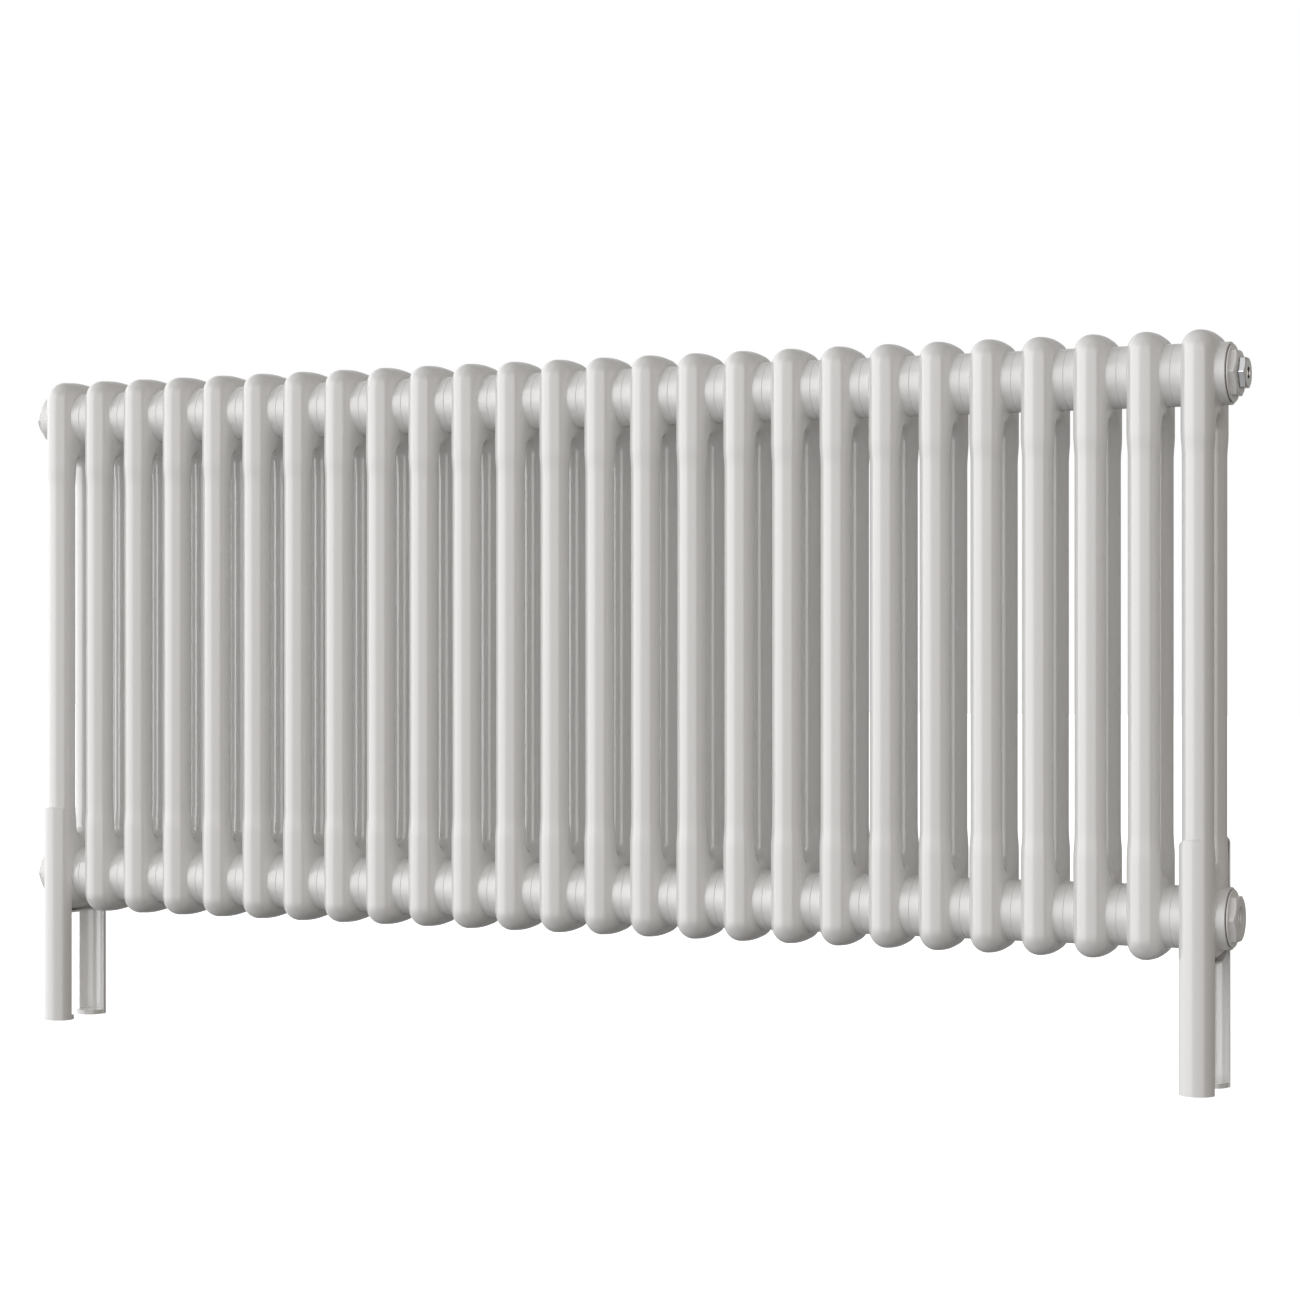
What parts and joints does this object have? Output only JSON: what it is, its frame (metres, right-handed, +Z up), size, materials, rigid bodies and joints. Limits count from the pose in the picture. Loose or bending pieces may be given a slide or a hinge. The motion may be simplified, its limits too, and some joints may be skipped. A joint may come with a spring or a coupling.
{
  "type": "column radiator",
  "caption": "Column radiator of round steel tubes with arched heads joined by round hubs, on half-round slip-on feet, with hexagon bushes, a blanking plug and an air vent.",
  "frame": {"origin": "on the floor, under the middle of the radiator in length and in depth", "axes": "+X along the row of sections towards the air vent end, +Y from the front column to the rear column, +Z up"},
  "size_m": [1.1574, 0.0776, 0.602],
  "materials": {
    "white_powder_coat": "gloss white powder coat",
    "chrome_plate": "polished chrome plate",
    "plated_brass": "dull nickel-plated brass",
    "bare_steel": "machined thread, unpainted",
    "fibre_gasket": "matt grey fibre and rubber gasket",
    "pale_seal": "pale nylon sealing ring",
    "black_rubber": "soft black rubber"
  },
  "bodies": {
    "radiator": {"air_vent_body": "chrome_plate", "blanking_plug": "chrome_plate", "end_ring_bottom_left": "bare_steel", "end_ring_bottom_right": "bare_steel", "end_ring_top_left": "bare_steel", "end_ring_top_right": "bare_steel", "foot_base_front_left": "white_powder_coat", "foot_base_front_right": "white_powder_coat", "foot_base_rear_left": "white_powder_coat", "foot_base_rear_right": "white_powder_coat", "foot_saddle_left": "white_powder_coat", "foot_saddle_right": "white_powder_coat", "foot_shell_front_left": "white_powder_coat", "foot_shell_front_right": "white_powder_coat", "foot_shell_rear_left": "white_powder_coat", "foot_shell_rear_right": "white_powder_coat", "hub_gasket_bottom_left": "fibre_gasket", "hub_gasket_bottom_right": "fibre_gasket", "hub_gasket_top_left": "fibre_gasket", "hub_gasket_top_right": "fibre_gasket", "plug_seal_ring": "pale_seal", "reducing_bush_bottom_left": "white_powder_coat", "reducing_bush_bottom_right": "white_powder_coat", "reducing_bush_top_left": "white_powder_coat", "reducing_bush_top_right": "white_powder_coat", "section_01": "white_powder_coat", "section_02": "white_powder_coat", "section_03": "white_powder_coat", "section_04": "white_powder_coat", "section_05": "white_powder_coat", "section_06": "white_powder_coat", "section_07": "white_powder_coat", "section_08": "white_powder_coat", "section_09": "white_powder_coat", "section_10": "white_powder_coat", "section_11": "white_powder_coat", "section_12": "white_powder_coat", "section_13": "white_powder_coat", "section_14": "white_powder_coat", "section_15": "white_powder_coat", "section_16": "white_powder_coat", "section_17": "white_powder_coat", "section_18": "white_powder_coat", "section_19": "white_powder_coat", "section_20": "white_powder_coat", "section_21": "white_powder_coat", "section_22": "white_powder_coat", "section_23": "white_powder_coat", "section_24": "white_powder_coat", "section_25": "white_powder_coat", "section_26": "white_powder_coat", "vent_seal_ring": "pale_seal"},
    "vent_seal": {"bleed_tip_seal": "black_rubber"},
    "vent_screw": {"bleed_screw": "plated_brass"}
  },
  "joints": [
    {"name": "vent_screw_travel", "type": "slide", "parent": "radiator", "child": "vent_seal", "axis": [1, 0, 0], "range_m": [0, 0.0008]},
    {"name": "vent_screw_turn", "type": "hinge", "parent": "vent_seal", "child": "vent_screw", "pos_m": [0.5727, 0, 0.567], "axis": [1, 0, 0], "range_deg": [0, 360]}
  ],
  "couplings": [
    {"joint": "vent_screw_turn", "follows": "vent_screw_travel", "rad_per_m": 7853}
  ]
}
